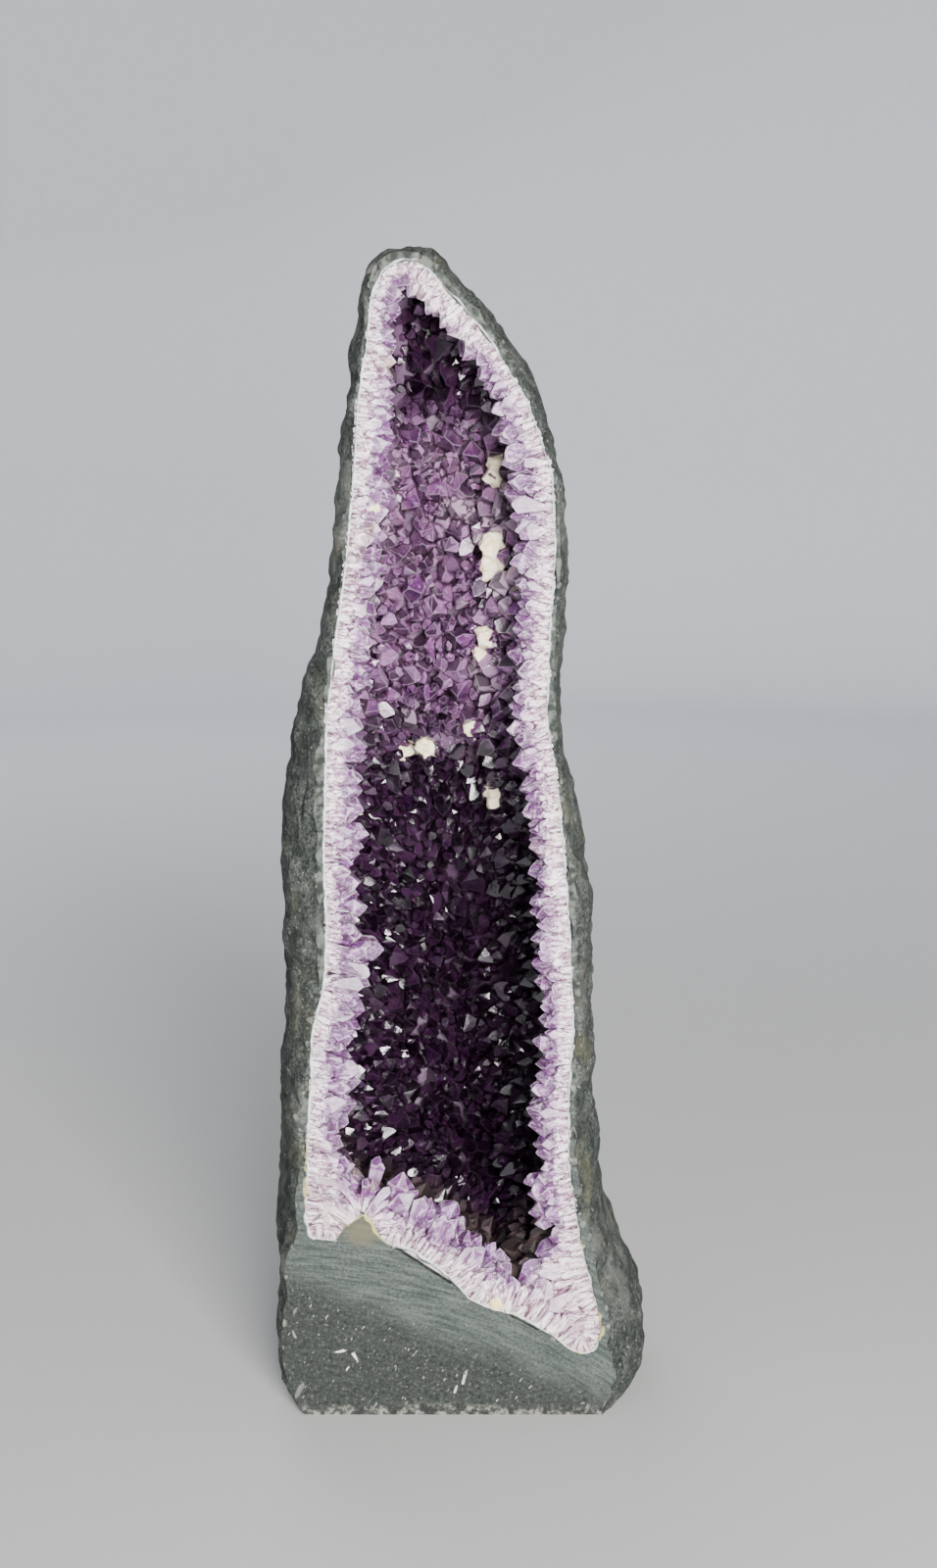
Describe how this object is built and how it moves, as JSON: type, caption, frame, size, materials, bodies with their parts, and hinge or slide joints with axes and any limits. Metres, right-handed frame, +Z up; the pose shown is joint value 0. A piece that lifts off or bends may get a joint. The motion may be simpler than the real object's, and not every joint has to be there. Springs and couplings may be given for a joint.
{
  "type": "amethyst geode",
  "caption": "Tall standing geode: basalt shell sawn flat in front and below, its deep hollow lined with purple amethyst crystals.",
  "frame": {"origin": "middle of the bottom of the bounding box, on the surface that the sawn base stands on", "axes": "+Z up along the geode's height, -Y out of the open sawn front, +X to the right as seen from the front"},
  "size_m": [0.3022, 0.2478, 0.9016],
  "materials": {
    "basalt": "rough outside, smooth sawn front",
    "amethyst": "glossy crystal faces"
  },
  "bodies": {
    "root": {"basalt_shell": "basalt", "amethyst_crust": "amethyst"}
  },
  "joints": []
}
